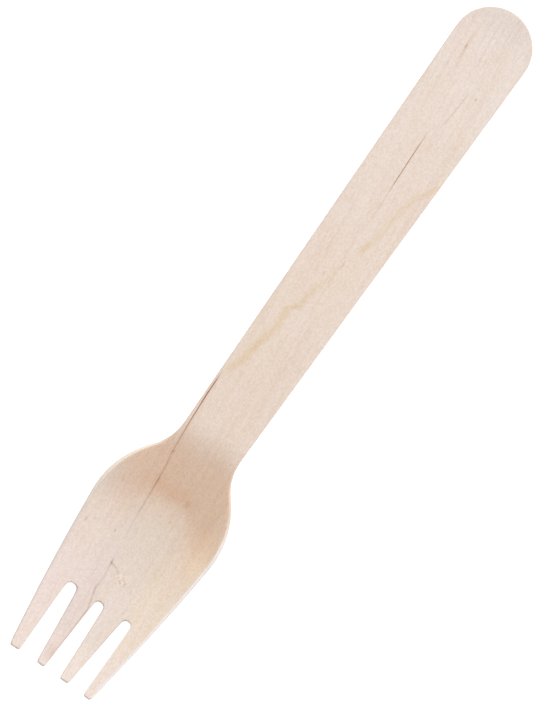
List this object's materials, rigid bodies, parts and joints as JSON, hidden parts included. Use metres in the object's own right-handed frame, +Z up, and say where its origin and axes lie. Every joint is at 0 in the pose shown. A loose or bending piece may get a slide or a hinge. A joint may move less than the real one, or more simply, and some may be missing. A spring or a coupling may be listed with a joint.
{
  "type": "disposable wooden fork",
  "caption": "Disposable fork stamped from one sheet of birch veneer, with a flat tapering round-ended handle, a shallow pressed dish and short tapered tines.",
  "frame": {"origin": "centre of the fork's box at the height of the table that it rests on", "axes": "+X along the fork from the end of the handle to the tips, +Y across it to the left seen from above, +Z up out of the dish"},
  "size_m": [0.16, 0.0284, 0.0064],
  "materials": {
    "birch_veneer": "bare hot-pressed rotary-cut veneer, matte"
  },
  "bodies": {
    "root": {"fork": "birch_veneer"}
  },
  "joints": []
}
